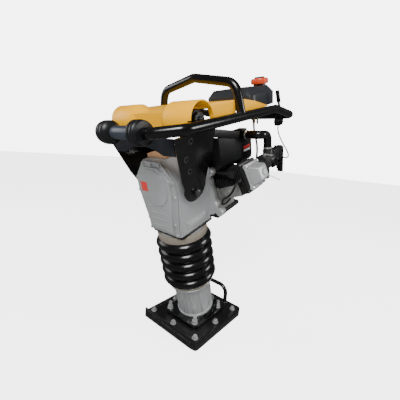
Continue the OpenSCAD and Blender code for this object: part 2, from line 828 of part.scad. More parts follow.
// Outline of one side plate in the plane of the plate: x is fore and aft, y up.
module plate_outline(h) {
    translate([-17, 24]) circle(r = 48);
    polygon([[-64, 30], [-80, 70], [-112, h], [58, h], [48, 120], [30, 34]]);
}

module side_plates() {
    lean = atan2(plate_x1 - plate_x0, plate_w1 - plate_w0);
    h = norm([plate_x1 - plate_x0, plate_w1 - plate_w0]);
    color([0.07, 0.07, 0.08]) leg() for (s = [0, 1]) mirror([s, 0, 0]) {
        difference() {
            translate([plate_x0, 0, plate_w0]) rotate([0, lean, 0]) rotate([90, 0, 90])
                linear_extrude(plate_t) plate_outline(h);
            translate([0, -17, 591]) across(90, 130, 6);
        }
        difference() {
            union() {
                translate([plate_x1 - 22, mount_v - 30, 744]) cube([plate_t, 60, mount_w - 744]);
                translate([0, mount_v, mount_w]) across(plate_x1 - 22, plate_x1 - 22 + plate_t, 30);
                translate([plate_x1 - 22, mount_v - 30, 744]) cube([18, 60, 5]);
            }
            translate([0, mount_v, mount_w]) across(plate_x1 - 30, plate_x1, mount_bolt_r + fit_gap);
        }
    }
}

module cross_panel() {
    color([0.2, 0.21, 0.24]) leg() difference() {
        translate([-137, -104, 730]) cube([274, 5, 48]);
        translate([0, -90, 560]) rotate([90, 0, 0]) cylinder(h = 30, r = 192, $fn = 96);
    }
}

module rubber_mounts() {
    color([0.05, 0.05, 0.05]) leg() for (s = [0, 1]) mirror([s, 0, 0])
        translate([0, mount_v, mount_w]) difference() {
            across(plate_x1 - 16, plate_x1 + 8, 27);
            across(plate_x1 - 17, plate_x1 + 9, mount_bolt_r + fit_gap);
        }
}

module mount_bolts() {
    color("silver") leg() for (s = [0, 1]) mirror([s, 0, 0]) {
        translate([0, -17, 591]) across(92, 116, 6);
        translate([116, -17, 591]) rotate([0, 90, 0]) cylinder(h = 7, r = 11, $fn = 6);
    }
}

// ---- Handle -----------------------------------------------------------------

module handle_frame() {
    a = handle_half_w;
    f = -handle_front;
    color([0.07, 0.07, 0.08]) leg() {
        translate([0, f, rail_w0]) across(-crossbar_x, crossbar_x, handle_r);
        bent_tube([[crossbar_x - 10, f, rail_w0], [bar_bend_x, f, rail_w0],
                   [a, f + front_sweep, rail_w0], [a, rail_v1, rail_w1],
                   [a, handle_rear, grip_w], [-a, handle_rear, grip_w], [-a, rail_v1, rail_w1],
                   [-a, f + front_sweep, rail_w0], [-bar_bend_x, f, rail_w0],
                   [10 - crossbar_x, f, rail_w0]], handle_r - 0.4, 38);
        for (s = [0, 1]) mirror([s, 0, 0]) {
            translate([0, mount_v, mount_w]) across(plate_x1 + 10, plate_x1 + 17, 20);
            translate([plate_x1 + 10, mount_v - 20, rail_w0 - 8]) cube([a - plate_x1 - 14, 40, 8]);
            translate([0, mount_v, mount_w]) across(plate_x1 - 30, plate_x1 + 24, mount_bolt_r);
        }
        for (v = strap_v) translate([-a + 4, v, tank_w0 - 5]) cube([2 * a - 8, 20, 5]);
    }
}

// The same point on the machine's other side.
function across_x(p) = [-p[0], p[1], p[2]];

module lift_hoop() {
    color([0.07, 0.07, 0.08]) leg()
        bent_tube([hoop_foot, hoop_shoulder, [0, 165, hoop_top], across_x(hoop_shoulder),
                   across_x(hoop_foot)], hoop_r, 45);
}

module front_rollers() {
    color([0.1, 0.1, 0.11]) leg() translate([0, -handle_front, rail_w0]) difference() {
        union() {
            across(-roller_x0, roller_x0, 19);
            for (s = [0, 1]) mirror([s, 0, 0]) {
                across(roller_x0, roller_x1 - 14, roller_r);
                across(roller_x1 - 14, roller_x1 - 10, roller_r - 6);
                across(roller_x1 - 10, roller_x1, roller_r - 2);
            }
        }
        across(-roller_x1 - 1, roller_x1 + 1, handle_r + fit_gap);
    }
}

// Side outline of the cover's deck, drawn in by t.
function deck_pts(t) = [[-58 + t, 797], [-58 + t, 838 - t], [40, 846 - t], [140, 843 - t],
                        [210, 838 - t], [280, 825 - t], [341 - t, 809 - t], [378 - t, 799],
                        [378 - t, 797]];

module deck(t) {
    w = cover_half_w - t;
    translate([-w, 0, 0]) rotate([90, 0, 90]) linear_extrude(2 * w) polygon(deck_pts(t));
}

module top_cover() {
    gap = 3;
    color([0.98, 0.74, 0.06]) leg() difference() {
        union() {
            deck(0);
            for (s = [0, 1]) mirror([s, 0, 0]) translate([0, mount_v, mount_w])
                union() {
                    across(hump_x0, hump_x1, hump_r);
                    translate([hump_x0 - cone_l, 0, 0]) rotate([0, 90, 0])
                        cylinder(h = cone_l, r1 = saddle_r, r2 = hump_r);
                }
        }
        translate([0, 0, -1]) deck(cover_wall);
        for (s = [0, 1]) mirror([s, 0, 0])
            bar(hoop_foot - 0.12 * (hoop_shoulder - hoop_foot), hoop_shoulder, hoop_r + 2);
        for (s = [0, 1]) mirror([s, 0, 0]) translate([0, mount_v, mount_w])
            union() {
                across(hump_x0, hump_x1 + 1, hump_r - cover_wall);
                translate([hump_x0 - cone_l, 0, 0]) rotate([0, 90, 0])
                    cylinder(h = cone_l + 0.1, r1 = saddle_r - cover_wall, r2 = hump_r - cover_wall);
            }
        translate([-220, -120, 700]) cube([440, 700, 97]);
        for (s = [-1, 1]) translate([s * 200 - 34, -120, 780]) cube([68, 600, 37]);
        translate([-tank_half_w - gap, tank_front - gap, 700]) cube([2 * tank_half_w + 2 * gap, 300, 300]);
    }
}

module fuel_tank() {
    l = tank_rear - tank_front;
    c = (tank_front + tank_rear) / 2;
    color([0.2, 0.21, 0.23]) leg() {
        translate([0, c, tank_w0]) linear_extrude(48) round_rect(2 * tank_half_w, l, 30);
        hull() {
            translate([0, c, tank_w0 + 48]) linear_extrude(1) round_rect(2 * tank_half_w, l, 30, $fn = 32);
            translate([0, c, tank_top]) linear_extrude(4)
                round_rect(2 * tank_half_w - 40, l - 36, 30, $fn = 32);
        }
        translate([62, 512, tank_top]) cylinder(h = 10, r = 26);
    }
}

module fuel_cap() {
    color([0.9, 0.27, 0.12]) leg() translate([62, 512, tank_top + 10.4]) {
        cylinder(h = 22, r = cap_r);
        translate([0, 0, 22]) cylinder(h = 6, r = cap_r - 10);
    }
}

module fuel_cock() {
    color("darkgoldenrod") leg() translate([100, 385, 0]) {
        translate([0, 0, 734]) cylinder(h = tank_w0 - 734, r = 6);
        translate([0, 0, 746]) cylinder(h = 20, r = 10);
        translate([0, 0, 756]) across(8, 20, lever_pin_r);
    }
}

module cock_lever() {
    color("darkgoldenrod") leg() translate([100, 385, 756]) difference() {
        union() {
            across(10.4, 18, 6);
            translate([14, -4, -26]) cube([4, 8, 22]);
        }
        across(10, 19, lever_pin_r + fit_gap);
    }
}

module fuel_hose() {
    color([0.07, 0.07, 0.08]) leg() hose(hose_pts, 4, 8);
}

module throttle_bracket() {
    w = throttle_pivot[0] - 0.4 - grip_clamp_x;
    color([0.07, 0.07, 0.08]) leg() {
        difference() {
            union() {
                translate([grip_clamp_x, handle_rear, grip_w]) across(0, w, handle_r + 7);
                translate([grip_clamp_x, throttle_pivot[1] - 6, throttle_pivot[2] - 17])
                    cube([w, 34, 20]);
                translate([grip_clamp_x, throttle_pivot[1], throttle_pivot[2]]) across(0, w, 12);
            }
            translate([grip_clamp_x, handle_rear, grip_w]) across(-1, w + 1, handle_r);
        }
        translate([grip_clamp_x, throttle_pivot[1], throttle_pivot[2]]) across(w - 1, w + 14, 5);
        translate([grip_clamp_x + 12, throttle_pivot[1] + 28, throttle_pivot[2] - 7])
            along_v(0, 10, 4);
    }
}

module throttle_lever() {
    color([0.07, 0.07, 0.08]) leg() translate(throttle_pivot) difference() {
        union() {
            across(0, 8, 11);
            rotate([leg_tilt, 0, 0]) translate([1, -5, 0]) cube([6, 10, 90]);
            rotate([leg_tilt, 0, 0]) translate([4, 0, lever_l - 46]) cylinder(h = 46, r = 8);
        }
        across(-1, 9, 5 + fit_gap);
    }
}

module throttle_cable() {
    color([0.05, 0.05, 0.05]) leg() hose(cable_pts, 2.8, 8);
}

sole_plate();
shoe_body();
shoe_bolts();
shoe_handle();
foot_block();
foot_studs();
foot_cylinder();
lower_clamp();
spring_cylinder();
cylinder_cap();
lower_spring();
upper_spring();
piston();
connecting_rod();
bellows();
upper_clamp();
guide_cylinder();
base_plate();
crankcase();
front_cover();
cover_bolts();
bearings();
crank_gear();
clutch_drum();
clutch_shoes();
crankshaft();
flywheel();
engine_block();
engine_bolts();
engine_cylinder();
cylinder_head();
rocker_cover();
spark_plug();
plug_lead();
recoil_cover();
starter_grip();
muffler();
carburettor();
throttle_arm();
choke_lever();
control_plate();
intake_elbow();
air_cleaner();
air_cleaner_hood();
side_plates();
cross_panel();
rubber_mounts();
mount_bolts();
handle_frame();
lift_hoop();
front_rollers();
top_cover();
fuel_tank();
fuel_cap();
fuel_cock();
cock_lever();
fuel_hose();
throttle_bracket();
throttle_lever();
throttle_cable();
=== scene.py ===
import json
import math

import bmesh
import bpy
from mathutils import Matrix, Vector


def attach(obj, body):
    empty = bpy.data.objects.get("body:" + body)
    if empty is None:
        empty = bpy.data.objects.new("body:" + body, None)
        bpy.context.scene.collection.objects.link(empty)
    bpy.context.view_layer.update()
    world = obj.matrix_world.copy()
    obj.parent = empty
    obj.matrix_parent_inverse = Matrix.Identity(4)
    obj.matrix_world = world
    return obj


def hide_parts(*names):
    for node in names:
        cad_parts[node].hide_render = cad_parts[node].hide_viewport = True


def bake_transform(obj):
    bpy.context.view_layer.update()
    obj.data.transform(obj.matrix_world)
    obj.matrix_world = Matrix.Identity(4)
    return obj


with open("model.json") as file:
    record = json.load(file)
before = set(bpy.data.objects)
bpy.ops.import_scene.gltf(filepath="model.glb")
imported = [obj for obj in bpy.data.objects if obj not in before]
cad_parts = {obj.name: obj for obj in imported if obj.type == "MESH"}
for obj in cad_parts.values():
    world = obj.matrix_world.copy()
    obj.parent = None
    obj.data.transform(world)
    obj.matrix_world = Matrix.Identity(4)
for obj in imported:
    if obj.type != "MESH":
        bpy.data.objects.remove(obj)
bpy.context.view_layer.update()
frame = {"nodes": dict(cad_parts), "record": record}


# ---- Studio ----------------------------------------------------------------
# One large lamp over the machine's left front, a fill on its right and a small
# one behind for the tubes' edges. Sky and floor look white when seen directly
# and dim in reflections, so that black enamel stays black.

camera_data = bpy.data.cameras.new("camera")
camera_data.sensor_width = 36
camera_data.lens = 22.44
camera_data.shift_x = -0.0121
camera_data.shift_y = 0.0015
camera = bpy.data.objects.new("camera", camera_data)
bpy.context.scene.collection.objects.link(camera)
camera_place = Matrix.Translation((0.6154, -0.7775, 0.7114))
heading = Matrix.Rotation(math.radians(38.1), 4, "Z")
tip = Matrix.Rotation(math.radians(90 - 10.76), 4, "X")
roll = Matrix.Rotation(math.radians(5.06), 4, "Z")
camera.matrix_world = camera_place @ heading @ tip @ roll
bpy.context.scene.camera = camera
machine_middle = Vector((0, -0.05, 0.55))


def lamp(name, place, size, watts):
    """A square lamp aimed at the middle of the machine."""
    data = bpy.data.lights.new(name, "AREA")
    data.shape = "SQUARE"
    data.size = size
    data.energy = watts
    light = bpy.data.objects.new(name, data)
    bpy.context.scene.collection.objects.link(light)
    light.location = place
    aim = machine_middle - Vector(place)
    light.rotation_euler = aim.to_track_quat("-Z", "Y").to_euler()


lamp("key_lamp", (1.3, -2.3, 2.7), 1.2, 125)
lamp("fill_lamp", (-2.4, -1.4, 1.5), 1.4, 22)
lamp("rim_lamp", (2.3, 1.3, 1.6), 0.9, 34)

world = bpy.data.worlds.new("white_sky")
world.use_nodes = True
world.node_tree.nodes["Background"].inputs["Color"].default_value = (1, 1, 1, 1)


def by_ray(tree, plain, camera_ray, glossy_ray):
    """A value that differs for what the camera sees directly and for mirror reflections."""
    rays = tree.nodes.new("ShaderNodeLightPath")
    seen = tree.nodes.new("ShaderNodeMath")
    seen.operation = "MULTIPLY_ADD"
    seen.inputs[1].default_value = camera_ray - plain
    seen.inputs[2].default_value = plain
    tree.links.new(rays.outputs["Is Camera Ray"], seen.inputs[0])
    mirrored_in = tree.nodes.new("ShaderNodeMath")
    mirrored_in.operation = "MULTIPLY_ADD"
    mirrored_in.inputs[1].default_value = glossy_ray - plain
    tree.links.new(rays.outputs["Is Glossy Ray"], mirrored_in.inputs[0])
    tree.links.new(seen.outputs[0], mirrored_in.inputs[2])
    return mirrored_in.outputs[0]


sky_strength = by_ray(world.node_tree, 0.42, 6.0, 0.10)
world.node_tree.links.new(sky_strength, world.node_tree.nodes["Background"].inputs["Strength"])
bpy.context.scene.world = world

floor_half = 14
floor_mesh = bpy.data.meshes.new("floor")
floor_bm = bmesh.new()
bmesh.ops.create_grid(floor_bm, x_segments=1, y_segments=1, size=floor_half)
floor_bm.to_mesh(floor_mesh)
floor_bm.free()
floor = bpy.data.objects.new("floor", floor_mesh)
bpy.context.scene.collection.objects.link(floor)
floor_paint = bpy.data.materials.new("floor_white")
floor_paint.use_nodes = True
floor_shader = floor_paint.node_tree.nodes["Principled BSDF"]
floor_paint.node_tree.links.new(by_ray(floor_paint.node_tree, 0.80, 0.94, 0.12),
                                floor_shader.inputs["Base Color"])
floor_shader.inputs["Roughness"].default_value = 0.8
floor_shader.inputs["Emission Color"].default_value = (1, 1, 1, 1)
floor_paint.node_tree.links.new(by_ray(floor_paint.node_tree, 0.06, 3.4, 0.02),
                                floor_shader.inputs["Emission Strength"])
floor_mesh.materials.append(floor_paint)


# ---- Shoe ------------------------------------------------------------------
# A steel sole under a black coated core with a turned-up toe. Eight bolts
# clamp the two together, and a bent tube at the heel carries the machine.

deck_height = 0.031
leg_lean = math.radians(18)
leg = Matrix.Translation((0, 0.015, deck_height)) @ Matrix.Rotation(leg_lean, 4, "X")
body_of_node = {}
for body_name, body_nodes in frame["record"]["behaviour"]["bodies"].items():
    for body_node in body_nodes:
        body_of_node[body_node] = body_name


def wear_group():
    """Grain, dust on what faces up, and bare metal along the edges."""
    group = bpy.data.node_groups.new("grain_dust_and_wear", "ShaderNodeTree")
    face = group.interface
    face.new_socket("Place", in_out="INPUT", socket_type="NodeSocketVector")
    for socket in ("Paint", "Dust Colour", "Worn Colour"):
        face.new_socket(socket, in_out="INPUT", socket_type="NodeSocketColor")
    for socket in ("Grain Scale", "Mottle", "Dust", "Wear", "Roughness", "Spread"):
        face.new_socket(socket, in_out="INPUT", socket_type="NodeSocketFloat")
    face.new_socket("Colour", in_out="OUTPUT", socket_type="NodeSocketColor")
    face.new_socket("Roughness", in_out="OUTPUT", socket_type="NodeSocketFloat")
    face.new_socket("Height", in_out="OUTPUT", socket_type="NodeSocketFloat")
    nodes = group.nodes
    link = group.links.new
    start = nodes.new("NodeGroupInput")
    end = nodes.new("NodeGroupOutput")

    def math_node(kind, a, b, clamp=False):
        node = nodes.new("ShaderNodeMath")
        node.operation = kind
        node.use_clamp = clamp
        for place, value in enumerate((a, b)):
            if isinstance(value, (int, float)):
                node.inputs[place].default_value = value
            else:
                link(value, node.inputs[place])
        return node.outputs[0]

    def noise(scale, detail):
        node = nodes.new("ShaderNodeTexNoise")
        node.inputs["Detail"].default_value = detail
        link(start.outputs["Place"], node.inputs["Vector"])
        if isinstance(scale, (int, float)):
            node.inputs["Scale"].default_value = scale
        else:
            link(scale, node.inputs["Scale"])
        return node.outputs["Fac"]

    def mix(factor, a, b):
        node = nodes.new("ShaderNodeMix")
        node.data_type = "RGBA"
        link(factor, node.inputs[0])
        link(a, node.inputs[6])
        link(b, node.inputs[7])
        return node.outputs[2]

    grain = noise(start.outputs["Grain Scale"], 5)
    cloud = noise(11, 6)
    speck = noise(140, 3)
    geometry = nodes.new("ShaderNodeNewGeometry")
    split = nodes.new("ShaderNodeSeparateXYZ")
    link(geometry.outputs["Normal"], split.inputs[0])
    upward = math_node("MULTIPLY_ADD", split.outputs[2], 0.6, True)
    upward.node.inputs[2].default_value = 0.4
    settled = math_node("MULTIPLY", math_node("SUBTRACT", cloud, 0.42, True), 4.0, True)
    dusty = math_node("MULTIPLY", math_node("MULTIPLY", settled, upward), start.outputs["Dust"], True)
    edge = math_node("MULTIPLY", math_node("SUBTRACT", geometry.outputs["Pointiness"], 0.515), 14.0, True)
    chipped = math_node("MULTIPLY", math_node("SUBTRACT", speck, 0.45, True), 6.0, True)
    worn = math_node("MULTIPLY", math_node("MULTIPLY", edge, chipped), start.outputs["Wear"], True)
    tone = nodes.new("ShaderNodeHueSaturation")
    shade = math_node("MULTIPLY", math_node("SUBTRACT", cloud, 0.5), start.outputs["Mottle"])
    link(math_node("ADD", shade, 1.0), tone.inputs["Value"])
    link(start.outputs["Paint"], tone.inputs["Color"])
    dusted = mix(dusty, tone.outputs["Color"], start.outputs["Dust Colour"])
    link(mix(worn, dusted, start.outputs["Worn Colour"]), end.inputs["Colour"])
    uneven = math_node("MULTIPLY", math_node("SUBTRACT", grain, 0.5), start.outputs["Spread"])
    base = math_node("ADD", start.outputs["Roughness"], uneven)
    link(math_node("ADD", base, math_node("MULTIPLY", dusty, 0.35), True), end.inputs["Roughness"])
    link(math_node("SUBTRACT", grain, math_node("MULTIPLY", worn, 0.4)), end.inputs["Height"])
    return group


wear = wear_group()


def finish(name, colour, rough, metal=0.0, grain=900, bump=0.0001, mottle=0.12, dust=0.06,
           edge_wear=0.0, bare=(0.5, 0.5, 0.5), spread=0.15, coat=0.0, shine=0.4):
    """A paint or bare surface; rough, metal, coat and shine are the shader's own values."""
    paint = bpy.data.materials.new(name)
    paint.use_nodes = True
    nodes = paint.node_tree.nodes
    link = paint.node_tree.links.new
    shader = nodes["Principled BSDF"]
    place = nodes.new("ShaderNodeTexCoord")
    surface = nodes.new("ShaderNodeGroup")
    surface.node_tree = wear
    link(place.outputs["Object"], surface.inputs["Place"])
    surface.inputs["Paint"].default_value = (*colour, 1)
    surface.inputs["Dust Colour"].default_value = (0.42, 0.38, 0.33, 1)
    surface.inputs["Worn Colour"].default_value = (*bare, 1)
    surface.inputs["Grain Scale"].default_value = grain
    surface.inputs["Mottle"].default_value = mottle
    surface.inputs["Dust"].default_value = dust
    surface.inputs["Wear"].default_value = edge_wear
    surface.inputs["Roughness"].default_value = rough
    surface.inputs["Spread"].default_value = spread
    relief = nodes.new("ShaderNodeBump")
    relief.inputs["Strength"].default_value = 0.6
    relief.inputs["Distance"].default_value = bump
    link(surface.outputs["Height"], relief.inputs["Height"])
    link(surface.outputs["Colour"], shader.inputs["Base Color"])
    link(surface.outputs["Roughness"], shader.inputs["Roughness"])
    link(relief.outputs["Normal"], shader.inputs["Normal"])
    shader.inputs["Metallic"].default_value = metal
    shader.inputs["Coat Weight"].default_value = coat
    shader.inputs["Coat Roughness"].default_value = 0.12
    shader.inputs["Specular IOR Level"].default_value = shine
    return paint


def placed(name, mesh, paint, body):
    """A smooth-shaded piece that rides on a body."""
    mesh.materials.clear()
    mesh.materials.append(paint)
    mesh.polygons.foreach_set("use_smooth", [True] * len(mesh.polygons))
    piece = bpy.data.objects.new(name, mesh)
    bpy.context.scene.collection.objects.link(piece)
    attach(piece, body)
    return piece


def softened(node, paint, edge, segments=2, angle=28):
    """A copy of a CAD node with its edges rounded, standing for it."""
    mesh = frame["nodes"][node].data.copy()
    bm = bmesh.new()
    bm.from_mesh(mesh)
    bmesh.ops.remove_doubles(bm, verts=bm.verts, dist=0.000002)
    bmesh.ops.dissolve_limit(bm, angle_limit=math.radians(0.5), verts=bm.verts, edges=bm.edges)
    bm.to_mesh(mesh)
    bm.free()
    piece = placed(node + "_finished", mesh, paint, body_of_node[node])
    rounding = piece.modifiers.new("rounded_edges", "BEVEL")
    rounding.width = edge
    rounding.segments = segments
    rounding.limit_method = "ANGLE"
    rounding.angle_limit = math.radians(angle)
    rounding.harden_normals = True
    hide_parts(node)
    return piece


def bent_tube(name, corners, radius, bend, paint, body, sides=7):
    """A tube bent round its corners, which are points in the leg's frame."""
    bend_steps = 10
    points = [Vector(corners[0])]
    for before, corner, after in zip(corners, corners[1:], corners[2:]):
        into = (Vector(corner) - Vector(before)).normalized()
        out = (Vector(after) - Vector(corner)).normalized()
        turn = into.angle(out)
        if turn < 0.02:
            points.append(Vector(corner))
            continue
        side = (out - into * into.dot(out)).normalized()
        first = Vector(corner) - into * bend * math.tan(turn / 2)
        for step in range(bend_steps + 1):
            t = turn * step / bend_steps
            points.append(first + bend * (math.sin(t) * into + (1 - math.cos(t)) * side))
    points.append(Vector(corners[-1]))
    curve = bpy.data.curves.new(name + "_path", "CURVE")
    curve.dimensions = "3D"
    curve.bevel_depth = radius
    curve.bevel_resolution = sides
    curve.use_fill_caps = True
    spline = curve.splines.new("POLY")
    spline.points.add(len(points) - 1)
    for knot, point in zip(spline.points, points):
        knot.co = (*point, 1)
    return swept(name, curve, paint, body)


def swept(name, curve, paint, body):
    """A curve in the leg's frame made into a solid line or tube."""
    path = bpy.data.objects.new(name + "_path", curve)
    bpy.context.scene.collection.objects.link(path)
    bpy.context.view_layer.update()
    mesh = bpy.data.meshes.new_from_object(path.evaluated_get(bpy.context.evaluated_depsgraph_get()))
    bpy.data.objects.remove(path)
    mesh.transform(leg)
    piece = placed(name, mesh, paint, body)
    mesh.set_sharp_from_angle(angle=math.radians(50))
    return piece


black_enamel = finish("black_enamel", (0.0015, 0.0015, 0.002), 0.22, grain=420, bump=0.0001, dust=0.008,
                      edge_wear=0.06, bare=(0.08, 0.08, 0.08), coat=0.1, shine=0.5)
shoe_coating = finish("shoe_coating", (0.003, 0.003, 0.0035), 0.32, grain=600, bump=0.0002,
                      dust=0.01, edge_wear=0.25, bare=(0.16, 0.16, 0.16), shine=0.4)
sole_steel = finish("sole_steel", (0.012, 0.012, 0.014), 0.42, metal=0.3, grain=260, bump=0.0002,
                    dust=0.02, edge_wear=0.4, bare=(0.16, 0.16, 0.16), shine=0.3)
zinc_plate = finish("zinc_plate", (0.62, 0.64, 0.62), 0.28, metal=0.75, grain=700, bump=0.00008,
                    mottle=0.25)

softened("sole_plate", sole_steel, 0.0015)
softened("shoe_body", shoe_coating, 0.0028, segments=3)
softened("shoe_bolts", zinc_plate, 0.0009)

loop_half = 0.060
loop_y = 0.150
loop_top = 0.109
loop_radius = 0.009
loop_bend = 0.038
shoe_loop = bent_tube("shoe_handle_tube",
                      [(-loop_half, loop_y, deck_height), (-loop_half, loop_y, loop_top),
                       (loop_half, loop_y, loop_top), (loop_half, loop_y, deck_height)],
                      loop_radius, loop_bend, black_enamel, "foot")
shoe_loop.data.transform(leg.inverted())
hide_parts("shoe_handle")


def turned(name, outline, axis, paint, body, steps=96, closed=False):
    """A round piece: (radius, height) points spun about the axis matrix's Z."""
    bm = bmesh.new()
    line = [bm.verts.new((radius, 0, height)) for radius, height in outline]
    for a, b in zip(line, line[1:]):
        bm.edges.new((a, b))
    if closed:
        bm.edges.new((line[-1], line[0]))
    bmesh.ops.spin(bm, geom=bm.verts[:] + bm.edges[:], cent=(0, 0, 0), axis=(0, 0, 1),
                   angle=2 * math.pi, steps=steps, use_merge=True)
    bmesh.ops.remove_doubles(bm, verts=bm.verts, dist=0.00001)
    bmesh.ops.recalc_face_normals(bm, faces=bm.faces)
    mesh = bpy.data.meshes.new(name)
    bm.to_mesh(mesh)
    bm.free()
    mesh.transform(axis)
    piece = placed(name, mesh, paint, body)
    mesh.set_sharp_from_angle(angle=math.radians(40))
    return piece


for foot_x in (-loop_half, loop_half):
    turned("shoe_handle_collar_" + ("right" if foot_x < 0 else "left"),
           [(0.0095, 0), (0.014, 0), (0.014, 0.003), (0.0115, 0.0055), (0.0095, 0.0055)],
           Matrix.Translation((foot_x, loop_y, deck_height)), black_enamel, "foot",
           steps=40, closed=True)


# ---- Foot casting and cylinder ---------------------------------------------
# A black casting bolted down by four studs holds the leaning foot cylinder,
# which is cast aluminium with upright ribs and a lip the bellows clamps to.

cast_alloy = finish("cast_alloy", (0.42, 0.43, 0.435), 0.38, metal=0.45, grain=1300, bump=0.0003,
                    mottle=0.3, dust=0.03, spread=0.3)
clamp_steel = finish("clamp_steel", (0.33, 0.29, 0.235), 0.42, metal=0.5, grain=500, bump=0.0001,
                     mottle=0.2)

softened("foot_block", black_enamel, 0.0022)
softened("foot_studs", zinc_plate, 0.0009)
softened("foot_cylinder", cast_alloy, 0.0014)
softened("lower_clamp", clamp_steel, 0.0008)


def rounded_edges(bm, corners, radius):
    """Rounds every edge that meets one of the corners."""
    edges = {edge for corner in corners for edge in corner.link_edges}
    bmesh.ops.bevel(bm, geom=list(edges), offset=radius, offset_type="OFFSET", segments=3,
                    profile=0.5, affect="EDGES", material=-1)


def block(bm, low, high, rounded):
    """A round-edged block between two corners, in the bmesh's own frame."""
    made = bmesh.ops.create_cube(bm, size=1)["verts"]
    size = [b - a for a, b in zip(low, high)]
    bmesh.ops.scale(bm, vec=size, verts=made)
    bmesh.ops.translate(bm, vec=[(a + b) / 2 for a, b in zip(low, high)], verts=made)
    if rounded:
        rounded_edges(bm, made, rounded)
    return made


def built(name, bm, paint, body, frame_of=leg):
    """A finished bmesh made into a piece, moved out of the frame it was drawn in."""
    mesh = bpy.data.meshes.new(name)
    bmesh.ops.recalc_face_normals(bm, faces=bm.faces)
    bm.to_mesh(mesh)
    bm.free()
    mesh.transform(frame_of)
    piece = placed(name, mesh, paint, body)
    mesh.set_sharp_from_angle(angle=math.radians(40))
    return piece


def ring_of_ribs(count, first_turn, low, high, rounded):
    """Equal blocks spaced evenly about Z, the first one turned by first_turn degrees."""
    bm = bmesh.new()
    for rib in range(count):
        before = set(bm.verts)
        block(bm, low, high, rounded)
        fresh = [corner for corner in bm.verts if corner not in before]
        spread = Matrix.Rotation(math.radians(360 * rib / count + first_turn), 3, "Z")
        bmesh.ops.rotate(bm, cent=(0, 0, 0), verts=fresh, matrix=spread)
    return bm


foot_ribs = ring_of_ribs(12, 8, (0.0700, -0.0025, 0.048), (0.0755, 0.0025, 0.172), 0.0012)
built("foot_cylinder_ribs", foot_ribs, cast_alloy, "foot")

lip_radius = 0.0866
lip_height = 0.1835
wire_radius = 0.0018
lip_wire = []
for step in range(10):
    turn = step * math.pi / 5
    lip_wire.append((lip_radius + wire_radius * math.cos(turn), lip_height + wire_radius * math.sin(turn)))
turned("lip_wire", lip_wire, leg, zinc_plate, "foot", closed=True)


# ---- Bellows ---------------------------------------------------------------
# One moulded rubber gaiter with five rolled folds, clamped to the foot's lip
# below and the crankcase's guide above.

gaiter_rubber = finish("gaiter_rubber", (0.004, 0.004, 0.0045), 0.2, grain=260, bump=0.00015,
                       mottle=0.3, dust=0.006, spread=0.1, coat=0.1, shine=0.38)
fold_count = 5
fold_low = 0.197
fold_high = 0.403
fold_height = (fold_high - fold_low) / fold_count
fold_inner = 0.0885
fold_depth = 0.0155
fold_steps = 14
gaiter_wall = 0.003
gaiter = [(0.0830, lip_height), (0.0832, 0.1945)]
for fold in range(fold_count):
    for step in range(fold_steps + 1):
        around = step / fold_steps
        swell = math.sin(math.pi * around) ** 0.75
        ridge = 0.0012 * math.exp(-((around - 0.5) / 0.07) ** 2)
        height = fold_low + (fold + 0.04 + 0.92 * around) * fold_height
        gaiter.append((fold_inner + fold_depth * swell + ridge, height))
gaiter_in = [(radius - gaiter_wall, height) for radius, height in reversed(gaiter)]
bellows = turned("bellows_gaiter", gaiter + gaiter_in, leg, gaiter_rubber, "foot",
                 steps=128, closed=True)
bellows.parent = None
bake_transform(bellows)
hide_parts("bellows")


# ---- Spring pack and piston ------------------------------------------------
# Inside the leg, all oiled: a steel cylinder closed by a cap, two coil springs
# and the piston between them on its rod.


def coated(node, paint):
    """A CAD node that keeps its own shape, in a better finish."""
    shown = frame["nodes"][node]
    if not shown.material_slots:
        shown.data.materials.append(paint)
    for place in shown.material_slots:
        place.material = paint


oiled_steel = finish("oiled_steel", (0.42, 0.43, 0.45), 0.24, metal=1.0, grain=500, bump=0.00006,
                     mottle=0.2, dust=0.0)
spring_steel = finish("spring_steel", (0.10, 0.13, 0.19), 0.35, metal=0.9, grain=500, mottle=0.2,
                      dust=0.0)
for inner in ("spring_cylinder", "cylinder_cap", "piston", "connecting_rod", "crank_gear",
              "clutch_drum", "crankshaft", "bearings"):
    coated(inner, oiled_steel)
for coil, held_end, piston_end in (("lower_spring", min, max), ("upper_spring", max, min)):
    coil_mesh = frame["nodes"][coil].data.copy()
    coil_piece = placed(coil + "_sprung", coil_mesh, spring_steel, "foot")
    heights = [(leg.inverted() @ point.co).z for point in coil_mesh.vertices]
    coil_piece.parent = None
    leg @ Vector((0, 0, held_end(heights)))
    leg @ Vector((0, 0, piston_end(heights)))
    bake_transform(coil_piece)
    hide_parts(coil)


# ---- Crankcase -------------------------------------------------------------
# A silver aluminium casting on a black floor plate. Its front cover is a
# second casting with a raised panel, held by a ring of small hexagon bolts.

softened("upper_clamp", clamp_steel, 0.0012)
softened("guide_cylinder", cast_alloy, 0.0012)
softened("base_plate", black_enamel, 0.0018)
softened("crankcase", cast_alloy, 0.0030, segments=3)
softened("front_cover", cast_alloy, 0.0020, segments=3)
softened("cover_bolts", zinc_plate, 0.0006)


def blocks(name, boxes, paint, body):
    """A piece of round-edged blocks, each a low corner, a high corner and a rounding."""
    bm = bmesh.new()
    for low, high, rounded in boxes:
        block(bm, low, high, rounded)
    return built(name, bm, paint, body)


cover_ribs = [((-half, -0.0926, rib_w), (half, -0.0900, rib_w + 0.0022), 0.0007)
              for rib_w, half in ((0.476, 0.036), (0.500, 0.038), (0.524, 0.042), (0.548, 0.048))]
blocks("front_cover_ribs", cover_ribs, cast_alloy, "case")

top_tan = finish("breather_lid_tan", (0.36, 0.20, 0.10), 0.5, grain=300, mottle=0.25)
blocks("breather_lid", [((-0.0420, -0.058, 0.7035), (0.0420, 0.064, 0.7165), 0.0022)],
       top_tan, "case")

